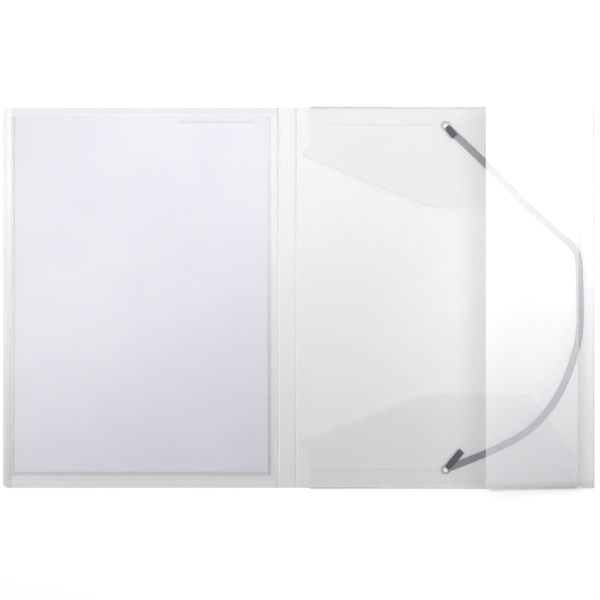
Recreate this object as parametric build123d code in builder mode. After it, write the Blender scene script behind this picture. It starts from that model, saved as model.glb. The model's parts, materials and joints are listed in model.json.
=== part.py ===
from build123d import *
import os
from math import cos, degrees, radians, sin, tan

# An open three-flap folder, inside up, on the XY plane. The spine runs along Y.
# The front cover is at -X and the back panel with its three flaps is at +X.

# The sheet that everything is cut from
sheet = 0.6
panel_floor = 1.0
panel_height = 317.4
cover_width = 230.0
spine_width = 15.0
back_width = 235.0
cover_corner = 4.5

# The side flap: a gusset that stands up and a flap that leans back over the panel
gusset_width = 14.5
gusset_angle = 45.0
side_flap_depth = 93.0
side_flap_height = 314.0
side_flap_rise = 8.7
side_flap_corner = 5.0

# The top and bottom flaps, folded flat onto the back panel
end_gusset_depth = 14.5
end_flaps = {"top": (1, 83.0, 3.0), "bottom": (-1, 79.5, 4.0)}
end_flap_gap = 0.4
flap_left = 11.7
ear_start = 30.5
ear_tip = (3.5, 39.5)
slant_end = 110.0
full_depth_end = 52.0
flap_right = 2.8
right_end_depth = 28.0
ear_root_blend = 6.0
ear_tip_radius = 2.5
slant_blend = 30.0
full_depth_blend = 8.0
right_end_blend = 4.0

# Living hinges: a pressed band whose rounded nose is the hinge line
crease_band = 1.2
hinge_gap = 0.5
tight_hinge_gap = 0.75
hairpin_radius = 0.35
score_width = 1.0
score_sheet = 0.4

# The title pocket welded to the outside of the front cover, and its A4 sheet
film = 0.2
film_margin = 2.0
film_crease_margin = 3.0
film_top_margin = 7.8
film_bottom_margin = 6.0
seam_width = 2.5
notch_width = 74.0
notch_floor = 62.0
notch_depth = 6.3
notch_from_crease = 52.5
title_width = 210.0
title_height = 297.0
title_paper = 0.2
title_floor = 0.4
title_shift = (0.45, 3.4)
title_tilt = 0.3
title_room = 1.1

# Eyelets and the elastic
eyelet_from_crease = 110.4
eyelet_from_edge = 15.2
eyelet_hole = 2.5
eyelet_bore = 2.0
eyelet_flange = 4.0
flange_sheet = 0.35
strap_width = 6.0
strap_sheet = 0.6
neck_radius = 1.7
tail_width = 5.6
upper_tail = (12.0, -50.7)
lower_tail = (20.5, 50.0)
tail_start = 4.0

# Where the creases lie, with the whole width centred on the origin
gusset_run = gusset_width * cos(radians(gusset_angle))
total_width = cover_width + spine_width + back_width + gusset_run + sheet / 2
x_edge = -total_width / 2
x_cover_crease = x_edge + cover_width
x_spine_crease = x_cover_crease + spine_width
x_gusset_crease = x_spine_crease + back_width
x_fold = x_gusset_crease + gusset_run
z_middle = panel_floor + sheet / 2
z_fold = z_middle + gusset_width * sin(radians(gusset_angle))
y_edge = panel_height / 2
panel_top = panel_floor + sheet
eyelet_x = x_gusset_crease - eyelet_from_crease
eyelet_y = y_edge - eyelet_from_edge

# The strap's course behind the back panel, from the upper eyelet to the lower one
strap_route = [
    (eyelet_x, eyelet_y),
    (141.5, 127.6),
    (169.5, 100.3),
    (200.0, 69.5),
    (221.0, 50.8),
    (231.0, 42.8),
    (235.6, 34.0),
    (236.2, 20.0),
    (236.9, -9.0),
    (236.4, -31.0),
    (232.6, -47.0),
    (224.5, -71.0),
    (212.0, -93.0),
    (193.5, -112.3),
    (168.5, -125.8),
    (142.0, -136.8),
    (eyelet_x, -eyelet_y),
]


def plate_plane(x, z, angle):
    """A plane through a hinge line along Y, whose local X runs up the plate at this angle."""
    way = Vector(cos(radians(angle)), 0, sin(radians(angle)))
    normal = Vector(-sin(radians(angle)), 0, cos(radians(angle)))
    return Plane(origin=(x, 0, z), x_dir=way, z_dir=normal)


def section_plane(x, z, angle):
    """The plane of a crease's section, with local X running on across the hinge line."""
    way = Vector(cos(radians(angle)), 0, sin(radians(angle)))
    return Plane(origin=(x, 0, z), x_dir=way, z_dir=(0, -1, 0))


def save(part, name):
    """Labels a finished piece and writes it."""
    part.label = name
    export_step(part, f"parts/{name}.step")


os.makedirs("parts", exist_ok=True)

# Front cover
with BuildPart() as front_cover:
    with BuildSketch(Plane.XY.offset(panel_floor)) as cover_outline:
        with Locations(((x_edge + x_cover_crease - hinge_gap) / 2, 0)):
            Rectangle(cover_width - hinge_gap, panel_height)
        fillet(cover_outline.vertices().group_by(Axis.X)[0], cover_corner)
    extrude(amount=sheet)
save(front_cover.part, "front_cover")

# Spine, between its two hinge lines
with BuildPart() as spine:
    with BuildSketch(Plane.XY.offset(panel_floor)):
        with Locations(((x_cover_crease + crease_band + x_spine_crease - hinge_gap) / 2, 0)):
            Rectangle(spine_width - crease_band - hinge_gap, panel_height)
    extrude(amount=sheet)
save(spine.part, "spine")

# Back panel, with room for the creases along three sides and a hole for each eyelet
back_left = x_spine_crease + crease_band
back_right = x_gusset_crease - crease_band
end_left = x_spine_crease + flap_left
end_right = x_gusset_crease - flap_right
with BuildPart() as back_panel:
    with BuildSketch(Plane.XY.offset(panel_floor)):
        with Locations(((back_left + back_right) / 2, 0)):
            Rectangle(back_right - back_left, panel_height)
        with Locations(
            ((end_left + end_right) / 2, y_edge - crease_band / 2),
            ((end_left + end_right) / 2, crease_band / 2 - y_edge),
        ):
            Rectangle(end_right - end_left, crease_band, mode=Mode.SUBTRACT)
    extrude(amount=sheet)
    with Locations((eyelet_x, eyelet_y, panel_top), (eyelet_x, -eyelet_y, panel_top)):
        Hole(eyelet_hole)
save(back_panel.part, "back_panel")

# The four straight creases: a pressed band that ends in a rounded nose on the hinge line
straight_creases = {
    "cover_crease": (x_cover_crease, z_middle, 180, panel_height),
    "spine_crease": (x_spine_crease, z_middle, 180, panel_height),
    "side_gusset_crease": (x_gusset_crease, z_middle, 0, side_flap_height),
    "side_flap_crease": (x_fold, z_fold, gusset_angle, side_flap_height),
}
# The cover crease belongs to the spine, so its band runs back towards the spine.
for name, (x, z, angle, length) in straight_creases.items():
    with BuildPart() as crease:
        with BuildSketch(section_plane(x, z, angle)):
            with Locations((-crease_band / 2, 0)):
                Rectangle(crease_band, sheet)
            Circle(sheet / 2)
        extrude(amount=length / 2, both=True)
    save(crease.part, name)

# Side gusset, standing up from the back panel's right-hand crease
with BuildPart() as side_gusset:
    with BuildSketch(plate_plane(x_gusset_crease, z_middle, gusset_angle)):
        with Locations(((hinge_gap + gusset_width - crease_band) / 2, 0)):
            Rectangle(gusset_width - crease_band - hinge_gap, side_flap_height)
    extrude(amount=sheet / 2, both=True)
save(side_gusset.part, "side_gusset")

# Side flap, leaning back over the panel and rising to its free edge
with BuildPart() as side_flap:
    with BuildSketch(plate_plane(x_fold, z_fold, 180 - side_flap_rise)) as flap_outline:
        with Locations(((tight_hinge_gap + side_flap_depth) / 2, 0)):
            Rectangle(side_flap_depth - tight_hinge_gap, side_flap_height)
        fillet(flap_outline.vertices().group_by(Axis.X)[-1], side_flap_corner)
    extrude(amount=sheet / 2, both=True)
save(side_flap.part, "side_flap")

# Top and bottom flaps: hairpin crease, gusset, score line and flap
hairpin_z = panel_top + end_flap_gap / 2
for end, (side, depth, lift) in end_flaps.items():
    y_hinge = side * y_edge
    slope = Vector(0, -side * cos(radians(lift)), sin(radians(lift)))
    inner_face = Vector(0, side * sin(radians(lift)), cos(radians(lift)))
    across = slope.cross(inner_face)
    outline_plane = Plane(
        origin=Vector(0, y_hinge, hairpin_z) + inner_face * (end_flap_gap / 2),
        x_dir=across,
        z_dir=inner_face,
    )
    way = across.X

    with BuildPart() as hairpin:
        with BuildSketch(Plane.YZ.offset(end_left)):
            with Locations((y_hinge - side * crease_band / 2, z_middle)):
                Rectangle(crease_band, sheet)
            with Locations((y_hinge, hairpin_z)):
                Circle(hairpin_radius)
        extrude(amount=end_right - end_left)
    save(hairpin.part, f"{end}_flap_crease")

    with BuildPart() as end_gusset:
        with BuildSketch(outline_plane):
            with Locations((way * (end_left + end_right) / 2, (hinge_gap + end_gusset_depth) / 2)):
                Rectangle(end_right - end_left, end_gusset_depth - hinge_gap)
        extrude(amount=sheet)
    save(end_gusset.part, f"{end}_gusset")

    with BuildPart() as score:
        with BuildSketch(outline_plane.offset((sheet - score_sheet) / 2)):
            with Locations((way * (end_left + end_right) / 2, end_gusset_depth + score_width / 2)):
                Rectangle(end_right - end_left, score_width)
        extrude(amount=score_sheet)
    save(score.part, f"{end}_flap_score")

    flap_start = end_gusset_depth + score_width
    flap_radii = [0, ear_root_blend, ear_tip_radius, slant_blend, full_depth_blend, right_end_blend, 0]
    flap_points = [
        (end_left, flap_start),
        (end_left, ear_start),
        (x_spine_crease + ear_tip[0], ear_tip[1]),
        (x_spine_crease + slant_end, depth),
        (x_fold - full_depth_end, depth),
        (end_right, right_end_depth),
        (end_right, flap_start),
    ]
    with BuildPart() as end_flap:
        with BuildSketch(outline_plane):
            with BuildLine():
                FilletPolyline(
                    *[(way * x, y) for x, y in flap_points],
                    radius=flap_radii,
                    close=True,
                )
            make_face()
        extrude(amount=sheet)
    save(end_flap.part, f"{end}_flap")

# Title pocket: a film under the front cover, open at the top, with a thumb notch
film_left = x_edge + film_margin
film_right = x_cover_crease - film_crease_margin
film_bottom = film_bottom_margin - y_edge
film_top = y_edge - film_top_margin
notch_middle = x_cover_crease - notch_from_crease
with BuildPart() as title_pocket:
    with BuildSketch():
        with BuildLine():
            Polyline(
                (film_left, film_bottom),
                (film_right, film_bottom),
                (film_right, film_top),
                (notch_middle + notch_width / 2, film_top),
                (notch_middle + notch_floor / 2, film_top - notch_depth),
                (notch_middle - notch_floor / 2, film_top - notch_depth),
                (notch_middle - notch_width / 2, film_top),
                (film_left, film_top),
                close=True,
            )
        make_face()
    extrude(amount=film)
save(title_pocket.part, "title_pocket")

# The three welds that join the film to the cover, close round the title sheet
title_x = (x_edge + x_cover_crease) / 2 + title_shift[0]
title_y = title_shift[1]
seam_from_middle = (title_width + seam_width) / 2 + title_room
bottom_seam_y = title_y - (title_height + seam_width) / 2 - title_room
side_seam_bottom = bottom_seam_y - seam_width / 2
side_seam_y = (side_seam_bottom + film_top) / 2
side_seam = (seam_width, film_top - side_seam_bottom)
bottom_seam = (2 * seam_from_middle - seam_width, seam_width)
seams = {
    "pocket_outer_seam": (title_x - seam_from_middle, side_seam_y, side_seam),
    "pocket_spine_seam": (title_x + seam_from_middle, side_seam_y, side_seam),
    "pocket_bottom_seam": (title_x, bottom_seam_y, bottom_seam),
}
for name, (x, y, size) in seams.items():
    with BuildPart() as seam:
        with BuildSketch(Plane.XY.offset(film)):
            with Locations((x, y)):
                Rectangle(*size)
        extrude(amount=panel_floor - film)
    save(seam.part, name)

# The A4 title sheet, a little askew in its pocket
with BuildPart() as title_sheet:
    with BuildSketch(Plane.XY.offset(title_floor)):
        with Locations((title_x, title_y)):
            Rectangle(title_width, title_height, rotation=title_tilt)
    extrude(amount=title_paper)
save(title_sheet.part, "title_sheet")

# An eyelet and its washer at each end of the strap
for end, y in (("upper", eyelet_y), ("lower", -eyelet_y)):
    flange_floor = panel_floor - flange_sheet
    washer_top = panel_top + flange_sheet
    with BuildPart() as eyelet:
        with BuildSketch(Plane.XY.offset(flange_floor)):
            with Locations((eyelet_x, y)):
                Circle(eyelet_flange)
        extrude(amount=flange_sheet)
        with BuildSketch(Plane.XY.offset(panel_floor)):
            with Locations((eyelet_x, y)):
                Circle(eyelet_hole)
        extrude(amount=washer_top - panel_floor)
        with Locations((eyelet_x, y, washer_top)):
            Hole(eyelet_bore)
    save(eyelet.part, f"{end}_eyelet")

    with BuildPart() as washer:
        with BuildSketch(Plane.XY.offset(panel_top)):
            with Locations((eyelet_x, y)):
                Circle(eyelet_flange)
                Circle(eyelet_hole, mode=Mode.SUBTRACT)
        extrude(amount=flange_sheet)
    save(washer.part, f"{end}_eyelet_washer")

# The elastic: a flat ribbon on the surface that the folder lies on
strap_runs = [Vector(*b) - Vector(*a) for a, b in zip(strap_route, strap_route[1:])]
strap_turns = [a.get_angle(b) for a, b in zip(strap_runs, strap_runs[1:])]
strap_radii = [
    0.45 * min(a.length, b.length) / tan(radians(turn / 2))
    for a, b, turn in zip(strap_runs, strap_runs[1:], strap_turns)
]
with BuildPart() as elastic_strap:
    with BuildLine(Plane.XY.offset(strap_sheet / 2)) as strap_path:
        FilletPolyline(*strap_route, radius=strap_radii)
    strap_line = strap_path.wire()
    with BuildSketch(Plane(origin=strap_line @ 0, x_dir=(0, 0, 1), z_dir=strap_line % 0)):
        Rectangle(strap_sheet, strap_width)
    sweep()
    with BuildSketch():
        with Locations((eyelet_x, eyelet_y), (eyelet_x, -eyelet_y)):
            Circle(strap_width / 2)
    extrude(amount=strap_sheet)
save(elastic_strap.part, "elastic_strap")
print("strap length", round(strap_line.length, 1), "radii", [round(r) for r in strap_radii])
print("strap volume", round(elastic_strap.part.volume), "expected near",
      round(strap_line.length * strap_width * strap_sheet))

# Each end of the strap comes up through its eyelet and lies flat on the inner side
tail_floor = panel_top + flange_sheet
for end, y, (length, heading) in (("upper", eyelet_y, upper_tail), ("lower", -eyelet_y, lower_tail)):
    way = Vector(cos(radians(heading)), sin(radians(heading)))
    middle = Vector(eyelet_x, y) + way * ((length - tail_start) / 2)
    with BuildPart() as tail:
        with BuildSketch(Plane.XY.offset(strap_sheet)):
            with Locations((eyelet_x, y)):
                Circle(neck_radius)
        extrude(amount=tail_floor - strap_sheet)
        with BuildSketch(Plane.XY.offset(tail_floor)):
            with Locations(middle):
                Rectangle(length + tail_start, tail_width, rotation=heading)
        extrude(amount=strap_sheet)
    save(tail.part, f"{end}_strap_tail")
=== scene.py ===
import json
from math import atan2, cos, degrees, pi, radians, sin

import bmesh
import bpy
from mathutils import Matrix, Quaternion, Vector

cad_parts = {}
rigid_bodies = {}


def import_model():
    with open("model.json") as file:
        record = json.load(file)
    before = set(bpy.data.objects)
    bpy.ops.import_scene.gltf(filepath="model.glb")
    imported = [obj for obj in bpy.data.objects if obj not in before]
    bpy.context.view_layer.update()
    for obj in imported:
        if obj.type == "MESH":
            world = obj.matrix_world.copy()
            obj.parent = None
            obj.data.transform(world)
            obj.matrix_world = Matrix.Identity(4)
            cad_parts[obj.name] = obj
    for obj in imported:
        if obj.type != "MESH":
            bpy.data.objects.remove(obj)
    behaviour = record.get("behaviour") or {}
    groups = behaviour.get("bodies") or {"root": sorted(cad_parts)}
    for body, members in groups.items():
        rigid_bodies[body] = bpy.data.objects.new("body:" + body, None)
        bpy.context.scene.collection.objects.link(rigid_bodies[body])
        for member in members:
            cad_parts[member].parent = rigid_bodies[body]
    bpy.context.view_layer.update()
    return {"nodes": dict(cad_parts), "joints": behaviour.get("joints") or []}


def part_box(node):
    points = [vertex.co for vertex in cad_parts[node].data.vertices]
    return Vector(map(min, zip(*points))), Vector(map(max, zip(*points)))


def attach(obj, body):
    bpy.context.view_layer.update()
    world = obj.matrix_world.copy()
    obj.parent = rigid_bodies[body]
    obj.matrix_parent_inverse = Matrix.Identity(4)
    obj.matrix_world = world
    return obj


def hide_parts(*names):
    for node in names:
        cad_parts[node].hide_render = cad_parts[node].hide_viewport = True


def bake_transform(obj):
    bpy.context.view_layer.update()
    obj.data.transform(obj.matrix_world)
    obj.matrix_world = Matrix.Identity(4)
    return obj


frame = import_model()
nodes = frame["nodes"]
MM = 0.001


# ---------------------------------------------------------------- camera
CAMERA_HEIGHT = 0.8
VIEW_WIDTH = 0.5016
VIEW_CENTRE = (0.00265, -0.0021)
SENSOR = 36.0
CLIP_START = 0.01


def make_camera():
    """Straight above the table, seeing VIEW_WIDTH of it."""
    data = bpy.data.cameras.new("camera")
    data.sensor_width = SENSOR
    data.lens = SENSOR * CAMERA_HEIGHT / VIEW_WIDTH
    data.clip_start = CLIP_START
    camera = bpy.data.objects.new("camera", data)
    camera.location = (*VIEW_CENTRE, CAMERA_HEIGHT)
    bpy.context.scene.collection.objects.link(camera)
    bpy.context.scene.camera = camera


make_camera()


# ---------------------------------------------------------------- places
def hinge_joint(name):
    """A joint's place at rest, its parent body and its child body."""
    joint = next(j for j in frame["joints"] if j["name"] == name)
    return Vector(joint["pos_m"]), joint["parent"], joint["child"]


cover_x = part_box("front_cover")[0][0]
seam_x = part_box("pocket_outer_seam")[0][0]
film_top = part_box("title_pocket")[1][1]
paper_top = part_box("title_sheet")[1][1]
panel_low, panel_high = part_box("back_panel")
flap_low, flap_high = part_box("side_flap")
eyelet_low, eyelet_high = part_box("upper_eyelet")
EYELET_X = (eyelet_low[0] + eyelet_high[0]) / 2
EYELET_Y = (eyelet_low[1] + eyelet_high[1]) / 2


# ---------------------------------------------------------------- node helpers
def new_material(name):
    """A material with an empty node tree."""
    material = bpy.data.materials.new(name)
    material.use_nodes = True
    tree = material.node_tree
    tree.nodes.clear()
    return material, tree


def feed(tree, socket, value):
    """Give a socket a number, a colour, a vector or another node's output."""
    if isinstance(value, bpy.types.NodeSocket):
        tree.links.new(value, socket)
    elif socket.type == "RGBA":
        socket.default_value = (*value, 1)
    else:
        socket.default_value = value


def add(tree, kind, **inputs):
    """A shader node with some of its sockets fed by name."""
    node = tree.nodes.new(kind)
    for name, value in inputs.items():
        feed(tree, node.inputs[name.replace("_", " ")], value)
    return node


def object_coords(tree, scale=(1, 1, 1)):
    """Object coordinates in metres, stretched by scale."""
    place = tree.nodes.new("ShaderNodeTexCoord").outputs["Object"]
    return add(tree, "ShaderNodeMapping", Vector=place, Scale=scale).outputs["Vector"]


def noise(tree, vector, scale, detail=3.0, roughness=0.5):
    node = add(tree, "ShaderNodeTexNoise", Vector=vector, Scale=scale, Detail=detail, Roughness=roughness)
    return node.outputs["Fac"]


def remap(tree, value, low, high, start=0.3, stop=0.7):
    """low up to where the value is start, high from where it is stop, and a straight run between."""
    node = add(
        tree, "ShaderNodeMapRange", Value=value, From_Min=start, From_Max=stop, To_Min=low, To_Max=high
    )
    return node.outputs["Result"]


def bump(tree, height, strength, distance, under=None):
    """A bumped normal, over another one if under is given."""
    node = add(tree, "ShaderNodeBump", Height=height, Strength=strength, Distance=distance)
    if under is not None:
        feed(tree, node.inputs["Normal"], under)
    return node.outputs["Normal"]


def maths(tree, operation, *values):
    """A Math node's result. Each value is a number or a socket."""
    node = tree.nodes.new("ShaderNodeMath")
    node.operation = operation
    for socket, value in zip(node.inputs, values):
        feed(tree, socket, value)
    return node.outputs["Value"]


def product(tree, one, other):
    return maths(tree, "MULTIPLY", one, other)


def mixed(tree, factor, one, other):
    """A colour between two, each a colour or the socket of one."""
    node = tree.nodes.new("ShaderNodeMix")
    node.data_type = "RGBA"
    for name, value in (("Factor", factor), ("A", one), ("B", other)):
        feed(tree, node.inputs[name], value)
    return node.outputs["Result"]


def mixed_shader(tree, factor, one, other):
    """A share of the other shader in the first. The share is a number or a socket."""
    node = add(tree, "ShaderNodeMixShader", Fac=factor)
    tree.links.new(one, node.inputs[1])
    tree.links.new(other, node.inputs[2])
    return node.outputs["Shader"]


def grey(value):
    return (value, value, value)


def finish_material(tree, shader):
    add(tree, "ShaderNodeOutputMaterial", Surface=shader)


def along(tree, place, axis):
    """One axis of some coordinates."""
    return add(tree, "ShaderNodeSeparateXYZ", Vector=place).outputs[axis]


def band(tree, value, middle, half, full=0.6):
    """1 in the middle of a band of this half width, and 0 outside it. It is 1 over its full share."""
    distance = maths(tree, "ABSOLUTE", maths(tree, "SUBTRACT", value, middle))
    return remap(tree, distance, 1.0, 0.0, full * half, half)


# ---------------------------------------------------------------- the sheet's material
SHEET_IOR = 1.49
CLOUD_SCALE = 9.0
GRAIN_SCALE = 900.0
GRAIN_ROUGHNESS = 0.6
GRAIN_DEPTH = 0.04 * MM
WAVE_SCALE = 22.0
WAVE_STRETCH = (1.0, 0.45, 1.0)
WAVE_DEPTH = 0.6 * MM
HAZE_SHARES = (0.9, 1.1)
ROUGHNESS_OFFSETS = (-0.04, 0.05)
# A face is a cut edge if its normal points up or down by less than the first, and not past the second.
CUT_UPRIGHT = (0.3, 0.5)
EDGE_TINT = 0.88
EDGE_HAZE = 0.35


def cut_edge(tree, strength):
    """The strength on the faces that stand across the sheet, where it was cut, and 0 on its broad faces."""
    up = along(tree, tree.nodes.new("ShaderNodeTexCoord").outputs["Normal"], "Z")
    return remap(tree, maths(tree, "ABSOLUTE", up), strength, 0.0, *CUT_UPRIGHT)


def sheet_material(
    name, haze, tint, colour, roughness, bumps=0.25, ripple=0.25, mirrored=1.0, painted_shading=None, edged=1.0
):
    """Frosted polypropylene: some light is scattered both ways, some mirrored, the rest goes through.
    Haze is the scattered share at each face, tint what one face lets through, and mirrored how many
    faces' gloss the front face shows. A function given for the painted shading makes the tint from the
    node tree and the coordinates: painted shade and painted highlights.
    edged is how much duller the sheet is on the faces where it was cut."""
    material, tree = new_material(name)
    place = object_coords(tree)
    cloud = noise(tree, place, CLOUD_SCALE, 2.0)
    grain = noise(tree, place, GRAIN_SCALE, 2.0, GRAIN_ROUGHNESS)
    waves = noise(tree, object_coords(tree, WAVE_STRETCH), WAVE_SCALE, 1.0)
    normal = bump(tree, grain, bumps, GRAIN_DEPTH, bump(tree, waves, ripple, WAVE_DEPTH))
    hazy = remap(tree, cloud, *(haze * share for share in HAZE_SHARES))
    passed = painted_shading(tree, place) if painted_shading else grey(tint)
    if edged:
        edge = cut_edge(tree, edged)
        hazy = mixed(tree, edge, hazy, grey(EDGE_HAZE))
        passed = mixed(tree, edge, passed, grey(EDGE_TINT))
    clear = add(tree, "ShaderNodeBsdfTransparent", Color=passed)
    front = add(tree, "ShaderNodeBsdfDiffuse", Color=colour, Normal=normal)
    back = add(tree, "ShaderNodeBsdfTranslucent", Color=colour, Normal=normal)
    scattered = mixed_shader(tree, 0.5, front.outputs["BSDF"], back.outputs["BSDF"])
    through = mixed_shader(tree, hazy, clear.outputs["BSDF"], scattered)
    gloss = remap(tree, cloud, *(roughness + offset for offset in ROUGHNESS_OFFSETS))
    mirror = add(tree, "ShaderNodeBsdfGlossy", Color=grey(1), Roughness=gloss, Normal=normal)
    fresnel = add(tree, "ShaderNodeFresnel", IOR=SHEET_IOR, Normal=normal).outputs["Fac"]
    backfacing = tree.nodes.new("ShaderNodeNewGeometry").outputs["Backfacing"]
    shine = product(tree, fresnel, maths(tree, "MULTIPLY_ADD", backfacing, -mirrored, mirrored))
    finish_material(tree, mixed_shader(tree, shine, through, mirror.outputs["BSDF"]))
    return material


def painted_shade_toward(axis, dark_place, clear_place, dark_tint, tint):
    """Painted shade for a sheet: its tint darker toward one of its edges."""
    def painted_shading(tree, place):
        return remap(tree, along(tree, place, axis), dark_tint, tint, dark_place, clear_place)
    return painted_shading


# ---------------------------------------------------------------- the cover's painted shadow, highlight and shade
BASE_TINT = 0.87
# The film's thumb notch, and the painted shadow and painted highlight on the cover along its edge
NOTCH_FROM_CREASE = 52.5 * MM
NOTCH_HALF_WIDTH = 32.0 * MM
NOTCH_DEPTH = 6.3 * MM
NOTCH_FULL = 0.94
SHADOW_ABOVE = 1.8 * MM
SHADOW_HALF = 1.7 * MM
SHADOW_TINT = 0.838
GLINT_BELOW = 0.8 * MM
GLINT_HALF = 1.6 * MM
GLINT_TINT = 0.885
# Painted shade on the margin outside the pocket's outer seam: its tints beside the seam, and between which
# heights
MARGIN_SHADE_TINTS = (0.80, 0.93)
MARGIN_SHADE_RANGE = (-100.0 * MM, 150.0 * MM)
MARGIN_BLUR = 0.2 * MM
# Painted shade on the margin above the title sheet
HEAD_SHADE_TINT = 0.845
HEAD_BLUR = 1.5 * MM
HEAD_FADE = 100.0 * MM


def cover_painted_shading(tree, place):
    """Painted light on the cover: a painted shadow and a painted highlight along the film's cut edge at the
    thumb notch, and painted shade on the cover's margins: the outer one darkens toward the pocket's seam
    and toward its lower end, and the one above the title sheet darkens toward the spine."""
    side, height = along(tree, place, "X"), along(tree, place, "Y")
    notch_x = hinge_joint("cover_hinge")[0].x - NOTCH_FROM_CREASE
    notch_y = film_top - NOTCH_DEPTH
    across = band(tree, side, notch_x, NOTCH_HALF_WIDTH, NOTCH_FULL)
    shadow = product(tree, across, band(tree, height, notch_y + SHADOW_ABOVE, SHADOW_HALF))
    glint = product(tree, across, band(tree, height, notch_y - GLINT_BELOW, GLINT_HALF))
    tint = mixed(tree, shadow, grey(BASE_TINT), grey(SHADOW_TINT))
    tint = mixed(tree, glint, tint, grey(GLINT_TINT))
    # Painted shade on the outer margin: darker toward the seam and toward the cover's lower end
    inward = remap(tree, side, 0.0, 1.0, cover_x, seam_x)
    margin_shade = product(tree, inward, remap(tree, side, 1.0, 0.0, seam_x, seam_x + MARGIN_BLUR))
    tint = mixed(tree, margin_shade, tint, remap(tree, height, *MARGIN_SHADE_TINTS, *MARGIN_SHADE_RANGE))
    # Painted shade: the margin above the title sheet darkens toward the spine
    above = remap(tree, height, 0.0, 1.0, paper_top, paper_top + HEAD_BLUR)
    head_shade = product(tree, above, remap(tree, side, 0.0, 1.0, cover_x, cover_x + HEAD_FADE))
    return mixed(tree, head_shade, tint, grey(HEAD_SHADE_TINT))


# ---------------------------------------------------------------- paper and elastic
PAPER_COLOURS = ((0.812, 0.802, 0.878), (0.832, 0.822, 0.892))
PAPER_CLOUD_SCALE = 30.0
FIBRE_SCALE = 700.0
FIBRE_STRETCH = (1.0, 1.6, 1.0)
FIBRE_DEPTH = 0.05 * MM
ELASTIC_COLOURS = ((0.013, 0.015, 0.027), (0.040, 0.044, 0.068))
CORD_PITCH = 0.75 * MM
PICK_PITCH = 0.9 * MM
WEAVE_DEPTH = 0.12 * MM


def paper_material():
    """Thin paper, faintly cloudy, with a fibrous grain."""
    material, tree = new_material("title_paper")
    fibres = noise(tree, object_coords(tree, FIBRE_STRETCH), FIBRE_SCALE, 4.0, 0.7)
    cloud = noise(tree, object_coords(tree), PAPER_CLOUD_SCALE)
    body = add(
        tree, "ShaderNodeBsdfPrincipled",
        Base_Color=mixed(tree, remap(tree, cloud, 0.0, 1.0), *PAPER_COLOURS),
        Roughness=0.9,
        Normal=bump(tree, fibres, 0.3, FIBRE_DEPTH),
    )
    finish_material(tree, body.outputs["BSDF"])
    return material


def ridges(tree, socket, pitch):
    """A wave of this pitch along a coordinate."""
    return maths(tree, "SINE", product(tree, socket, 2 * pi / pitch))


def elastic_material():
    """Woven elastic: fine cords along its length and picks across it, from its own UVs in metres."""
    material, tree = new_material("woven_elastic")
    uv = tree.nodes.new("ShaderNodeUVMap").outputs["UV"]
    cords = ridges(tree, along(tree, uv, "Y"), CORD_PITCH)
    picks = ridges(tree, along(tree, uv, "X"), PICK_PITCH)
    weave = product(tree, cords, picks)
    body = add(
        tree, "ShaderNodeBsdfPrincipled",
        Base_Color=mixed(tree, remap(tree, weave, 0.0, 1.0, -1.0, 1.0), *ELASTIC_COLOURS),
        Roughness=0.75,
        Specular_IOR_Level=0.15,
        Sheen_Weight=0.06,
        Normal=bump(tree, weave, 0.6, WEAVE_DEPTH),
    )
    finish_material(tree, body.outputs["BSDF"])
    return material


# ---------------------------------------------------------------- finishes
SIDE_TINT = 0.972
# Painted shade: the side flap's tint darkens over this last stretch of its lower end
SIDE_END_SHADE_TINT = 0.80
SIDE_END = 7.0 * MM
WELD_TINT = 0.99
# Painted shade along a weld's inner edge, beside the title sheet
WELD_SHADE_TINT = 0.88

BASE_LOOK = dict(haze=0.08, tint=BASE_TINT, colour=(0.84, 0.86, 0.90), roughness=0.36, mirrored=2.4)
BASE = sheet_material("frosted_sheet", **BASE_LOOK)
# The cover's tint carries a painted shadow and highlight at the notch and painted shade on its margins.
COVER = sheet_material("frosted_cover", painted_shading=cover_painted_shading, **BASE_LOOK)
FLAP_LOOK = dict(haze=0.04, tint=0.982, colour=(0.93, 0.94, 0.96), roughness=0.40, mirrored=0.6)
FLAP = sheet_material("frosted_flap", edged=0.6, **FLAP_LOOK)
FLAP_ROOT = sheet_material("frosted_flap_root", edged=0.0, **FLAP_LOOK)
# The side flap carries painted shade toward its lower end.
SIDE = sheet_material(
    "frosted_side_flap", haze=0.13, tint=SIDE_TINT, colour=(0.92, 0.94, 0.97), roughness=0.34,
    mirrored=2.6, painted_shading=painted_shade_toward("Y", flap_low[1], flap_low[1] + SIDE_END, SIDE_END_SHADE_TINT, SIDE_TINT),
)
GUSSET = sheet_material(
    "frosted_side_gusset", haze=0.08, tint=0.86, colour=(0.88, 0.90, 0.93), roughness=0.40, mirrored=0.5
)
CREASE = sheet_material(
    "pressed_crease", haze=0.25, tint=0.95, colour=(0.92, 0.93, 0.95), roughness=0.30, ripple=0.08
)
FILM = sheet_material(
    "clear_film", haze=0.02, tint=0.995, colour=(0.9, 0.91, 0.93), roughness=0.2, bumps=0.05
)
CLEAR = sheet_material("eyelet_plastic", haze=0.15, tint=0.86, colour=(0.86, 0.87, 0.9), roughness=0.14)
PAPER = paper_material()
ELASTIC = elastic_material()

FINISHES = {
    BASE: ("spine", "back_panel"),
    COVER: ("front_cover",),
    FLAP: ("top_flap", "bottom_flap"),
    FLAP_ROOT: ("top_gusset", "top_flap_score", "bottom_gusset", "bottom_flap_score"),
    SIDE: ("side_flap",),
    GUSSET: ("side_gusset",),
    CREASE: (
        "cover_crease",
        "spine_crease",
        "side_gusset_crease",
        "side_flap_crease",
        "top_flap_crease",
        "bottom_flap_crease",
    ),
    FILM: ("title_pocket",),
    CLEAR: ("upper_eyelet", "upper_eyelet_washer", "lower_eyelet", "lower_eyelet_washer"),
    PAPER: ("title_sheet",),
}
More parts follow.
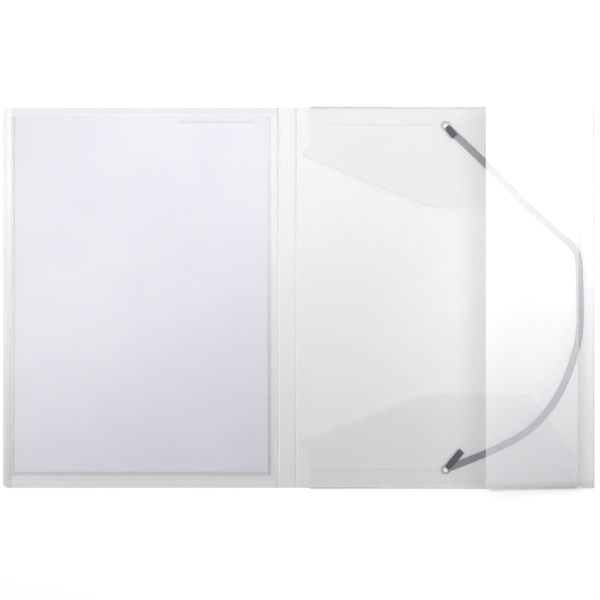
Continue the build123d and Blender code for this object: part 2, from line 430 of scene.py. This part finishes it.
# Each weld carries painted shade along its inner edge, the shadow beside the title sheet. For each weld:
# the axis across
# # it, and which of its two edges is the inner and which the outer one.
LOW, HIGH = 0, 1
for seam, axis, inner, outer in (
    ("pocket_outer_seam", "X", HIGH, LOW),
    ("pocket_spine_seam", "X", LOW, HIGH),
    ("pocket_bottom_seam", "Y", HIGH, LOW),
):
    ends = [corner["XY".index(axis)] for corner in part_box(seam)]
    weld = sheet_material(
        seam, haze=0.06, tint=WELD_TINT, colour=(0.86, 0.87, 0.90), roughness=0.25,
        painted_shading=painted_shade_toward(axis, ends[inner], ends[outer], WELD_SHADE_TINT, WELD_TINT),
    )
    FINISHES[weld] = (seam,)
for finish, names in FINISHES.items():
    for name in names:
        mesh = nodes[name].data
        mesh.materials.clear()
        mesh.materials.append(finish)


# ---------------------------------------------------------------- meshes
def link_mesh(name, verts, faces, material, smooth=True):
    mesh = bpy.data.meshes.new(name)
    mesh.from_pydata([tuple(v) for v in verts], [], faces)
    mesh.materials.append(material)
    for face in mesh.polygons:
        face.use_smooth = smooth
    mesh.update()
    piece = bpy.data.objects.new(name, mesh)
    bpy.context.scene.collection.objects.link(piece)
    return piece


def woven_tube(name, rings, uvs):
    """A closed tube of elastic through rings of points, with the weave's UVs in metres ring by ring."""
    count = len(rings[0])
    last = (len(rings) - 1) * count
    faces = [
        (i + j, i + (j + 1) % count, i + count + (j + 1) % count, i + count + j)
        for i in range(0, last, count)
        for j in range(count)
    ]
    faces += [tuple(range(count - 1, -1, -1)), tuple(last + j for j in range(count))]
    piece = link_mesh(name, [point for ring in rings for point in ring], faces, ELASTIC)
    layer = piece.data.uv_layers.new(name="weave")
    for loop in piece.data.loops:
        ring, j = divmod(loop.vertex_index, count)
        layer.data[loop.index].uv = uvs[ring][j]
    return piece


# ---------------------------------------------------------------- the elastic
STRAP_WIDTH = 6.0 * MM
STRAP_SHEET = 0.6 * MM
STRAP_ROUTE = [
    (EYELET_X + 1.0 * MM, EYELET_Y - 1.0 * MM),
    (0.1415, 0.1276),
    (0.1695, 0.1003),
    (0.2000, 0.0695),
    (0.2210, 0.0508),
    (0.2310, 0.0428),
    (0.2356, 0.0340),
    (0.2362, 0.0200),
    (0.2369, -0.0090),
    (0.2364, -0.0310),
    (0.2326, -0.0470),
    (0.2245, -0.0710),
    (0.2120, -0.0930),
    (0.1935, -0.1123),
    (0.1685, -0.1258),
    (0.1420, -0.1368),
    (EYELET_X + 1.4 * MM, -EYELET_Y + 0.5 * MM),
]
# A tail's half width where it is flat, the sides of its section, how round that is, and its half
# thickness as a share of the elastic's
TAIL_HALF = 2.8 * MM
TAIL_SIDES = 10
TAIL_ROUNDNESS = 0.35
TAIL_SHARE = 0.48
# Each tail's name, the sign of its eyelet's Y, its length and its heading in degrees
TAILS = (("upper", 1, 12.0 * MM, -50.7), ("lower", -1, 20.5 * MM, 50.0))


def smooth_line(points):
    """Points along the NURBS spline that has these control points."""
    curve = bpy.data.curves.new("route", "CURVE")
    curve.dimensions = "3D"
    curve.resolution_u = 10
    spline = curve.splines.new("NURBS")
    spline.points.add(len(points) - 1)
    for point, place in zip(spline.points, points):
        point.co = (*place, 1.0)
    spline.order_u = 3
    spline.use_endpoint_u = True
    holder = bpy.data.objects.new("route", curve)
    mesh = bpy.data.meshes.new_from_object(holder)
    line = [v.co.copy() for v in mesh.vertices]
    bpy.data.objects.remove(holder)
    bpy.data.curves.remove(curve)
    bpy.data.meshes.remove(mesh)
    return line


def ribbon(name, line, width, thick):
    """A flat woven band along a level line, with rounded edges and a slightly hollow middle."""
    half, high, bead = width / 2, thick / 2, thick * 0.45
    section = [
        (-half, 0.0),
        (-half + bead * 0.4, high * 0.75),
        (-half + bead, high),
        (-half * 0.33, high * 0.92),
        (half * 0.33, high * 0.92),
        (half - bead, high),
        (half - bead * 0.4, high * 0.75),
        (half, 0.0),
    ]
    section += [(across, -up) for across, up in reversed(section[1:-1])]
    rings, uvs, run = [], [], 0.0
    for i, point in enumerate(line):
        ahead = line[min(i + 1, len(line) - 1)] - line[max(i - 1, 0)]
        side = Vector((-ahead.y, ahead.x, 0)).normalized()
        run += (point - line[i - 1]).length if i else 0.0
        rings.append([point + side * across + Vector((0, 0, up)) for across, up in section])
        uvs.append([(run, across) for across, up in section])
    return woven_tube(name, rings, uvs)


strap_line = smooth_line([(x, y, STRAP_SHEET / 2) for x, y in STRAP_ROUTE])
strap = ribbon("elastic_band", strap_line, STRAP_WIDTH, STRAP_SHEET)
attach(strap, "back")
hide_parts("elastic_strap")


def strap_tail(end, side, length, heading):
    """The strap's end: bunched where it comes through the eyelet, then flat on the inner side."""
    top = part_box(f"{end}_strap_tail")[1][2] - STRAP_SHEET / 2
    way = Vector((cos(radians(heading)), sin(radians(heading)), 0))
    across = Vector((-way.y, way.x, 0))
    start = Vector((EYELET_X, side * EYELET_Y, 0))
    # Each station's distance from the bore's axis, its height and its half width
    stations = [
        (1.1 * MM, 0.8 * MM, 1.3 * MM),
        (1.2 * MM, 1.5 * MM, 1.4 * MM),
        (1.7 * MM, top - 0.1 * MM, 1.8 * MM),
        (3.0 * MM, top, 2.5 * MM),
        (4.5 * MM, top, TAIL_HALF),
        (length * 0.6, top, TAIL_HALF),
        (length, top, TAIL_HALF),
    ]
    angles = [2 * pi * j / TAIL_SIDES for j in range(TAIL_SIDES)]
    rings, uvs = [], []
    for reach, height, half in stations:
        ring = []
        for angle in angles:
            flat = abs(cos(angle)) ** TAIL_ROUNDNESS * (1 if cos(angle) >= 0 else -1)
            up = height + sin(angle) * STRAP_SHEET * TAIL_SHARE
            ring.append(start + way * reach + across * (half * flat) + Vector((0, 0, up)))
        rings.append(ring)
        uvs.append([(reach + height, half * cos(angle)) for angle in angles])
    piece = woven_tube(f"{end}_band_end", rings, uvs)
    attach(piece, "back")
    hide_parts(f"{end}_strap_tail")
    return piece


tails = [strap_tail(*tail) for tail in TAILS]


# ---------------------------------------------------------------- living hinges
WEB = 0.5 * MM
# How far a web reaches back under its parent's panel, and on to its child's
WEB_BACK = 0.1 * MM
WEB_REACH = 0.56 * MM
FOLD_REACH = 0.82 * MM
# The hairpin folds at the panel's two ends: their radius, and their straight starts and ends
HAIRPIN_RADIUS = 0.5 * MM
HAIRPIN_STEP = 18
HAIRPIN_START = 0.3 * MM
HAIRPIN_END = (0.62 * MM, 0.03 * MM)
HINGES_ALONG_Y = ("spine_hinge", "cover_hinge", "side_gusset_hinge", "side_flap_hinge")


def hinge_web(name, joint_name, middle_line, span):
    """The thinned web across a hinge, in its shape at rest. middle_line is its section about the hinge
    line, as (across, up) offsets; across is X for a hinge along Y and Y for a hinge along X."""
    centre, parent, child = hinge_joint(joint_name)
    sides = []
    for i, offsets in enumerate(middle_line):
        before, after = middle_line[max(i - 1, 0)], middle_line[min(i + 1, len(middle_line) - 1)]
        run = Vector((after[0] - before[0], after[1] - before[1])).normalized()
        sides.append((Vector(offsets), Vector((-run.y, run.x)) * WEB / 2))
    outline = [p + n for p, n in sides] + [p - n for p, n in reversed(sides)]
    count = len(outline)

    def place(point, t):
        if joint_name in HINGES_ALONG_Y:
            return Vector((centre.x + point.x, t, centre.z + point.y))
        return Vector((t, centre.y + point.x, centre.z + point.y))

    verts = [place(p, t) for t in span for p in outline]
    faces = [(j, (j + 1) % count, count + (j + 1) % count, count + j) for j in range(count)]
    for end in (0, count):
        faces += [
            (end + j, end + j + 1, end + count - 2 - j, end + count - 1 - j) for j in range(count // 2 - 1)
        ]
    piece = link_mesh(name, verts, faces, CREASE)
    cleaned = bmesh.new()
    cleaned.from_mesh(piece.data)
    bmesh.ops.recalc_face_normals(cleaned, faces=cleaned.faces)
    cleaned.to_mesh(piece.data)
    cleaned.free()
    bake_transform(piece)
    return piece


def direction(angle):
    return Vector((cos(radians(angle)), sin(radians(angle))))


def straight(angle, reach, back, steps=6):
    """A section from a little before the hinge line to the child panel's edge."""
    return [tuple(direction(angle) * (-back + (reach + back) * i / steps)) for i in range(steps + 1)]


def turned(parent_way, child_way, back, reach, steps=5):
    """A section that comes in along the parent's panel and leaves along the child's."""
    start = tuple(direction(parent_way) * -back)
    return [start] + [tuple(direction(child_way) * (reach * i / steps)) for i in range(steps + 1)]


for joint_name in ("spine_hinge", "cover_hinge"):
    hinge_web(
        joint_name.replace("hinge", "web"), joint_name, straight(180, WEB_REACH, WEB_BACK),
        (panel_low[1], panel_high[1]),
    )
fold = hinge_joint("side_flap_hinge")[0]
crease = hinge_joint("side_gusset_hinge")[0]
gusset_way = degrees(atan2(fold.z - crease.z, fold.x - crease.x))
flap_way = 180 - degrees(atan2(flap_high[2] - fold.z, fold.x - flap_low[0]))
flap_span = (flap_low[1], flap_high[1])
hinge_web(
    "side_gusset_web", "side_gusset_hinge", turned(0, gusset_way, WEB_BACK, WEB_REACH),
    flap_span,
)
hinge_web(
    "side_flap_web", "side_flap_hinge", turned(gusset_way, flap_way, WEB_BACK, FOLD_REACH),
    flap_span,
)
for end, side in (("top", 1), ("bottom", -1)):
    crease_low, crease_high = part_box(f"{end}_flap_crease")
    bend = [(-side * HAIRPIN_START, -HAIRPIN_RADIUS)]
    for angle in range(-90, 91, HAIRPIN_STEP):
        around = direction(angle) * HAIRPIN_RADIUS
        bend.append((side * around.x, around.y))
    bend.append((-side * HAIRPIN_END[0], HAIRPIN_RADIUS + HAIRPIN_END[1]))
    hinge_web(
        f"{end}_fold_web", f"{end}_flap_hinge", bend,
        (crease_low[0], crease_high[0]),
    )


# ---------------------------------------------------------------- stage and light
FLOOR_HALF = 6.0
FLOOR_DROP = 0.05 * MM
WORLD_STRENGTH = 0.2


def make_floor():
    material, tree = new_material("floor")
    body = add(
        tree, "ShaderNodeBsdfPrincipled", Base_Color=grey(0.9), Roughness=0.9, Specular_IOR_Level=0.1
    )
    finish_material(tree, body.outputs["BSDF"])
    corners = [(x * FLOOR_HALF, y * FLOOR_HALF, 0) for x, y in ((-1, -1), (1, -1), (1, 1), (-1, 1))]
    floor = link_mesh("floor", corners, [(0, 1, 2, 3)], material, smooth=False)
    floor.location.z = -FLOOR_DROP


def area_light(name, place, target, size, power, roll):
    """A softbox that faces its target, turned by roll degrees about the way it faces."""
    data = bpy.data.lights.new(name, "AREA")
    data.shape = "RECTANGLE"
    data.size, data.size_y = size
    data.energy = power
    light = bpy.data.objects.new(name, data)
    light.location = place
    facing = (Vector(target) - Vector(place)).to_track_quat("-Z", "Y")
    light.rotation_euler = (facing @ Quaternion((0, 0, 1), radians(roll))).to_euler()
    light.visible_camera = False
    bpy.context.scene.collection.objects.link(light)


def make_world(strength):
    world = bpy.data.worlds.new("studio")
    bpy.context.scene.world = world
    world.use_nodes = True
    background = world.node_tree.nodes["Background"]
    background.inputs["Color"].default_value = (1, 1, 1, 1)
    background.inputs["Strength"].default_value = strength


make_floor()
make_world(WORLD_STRENGTH)
# The flat panels mirror the key box, and the raised side flap mirrors the side box.
area_light(
    "key_box", place=(-0.32, 0.23, 0.95), target=(-0.17, 0.12, 0), size=(1.36, 0.64), power=9.85, roll=-22
)
area_light(
    "side_box", place=(0.72, 0.17, 1.0), target=(0.2, 0.05, 0), size=(0.40, 1.0), power=9.6, roll=32
)
bpy.context.scene.view_settings.view_transform = "Standard"
# A line of sight through the stacked sheets crosses up to ten faces, and its light as many again.
bpy.context.scene.cycles.transparent_max_bounces = 32
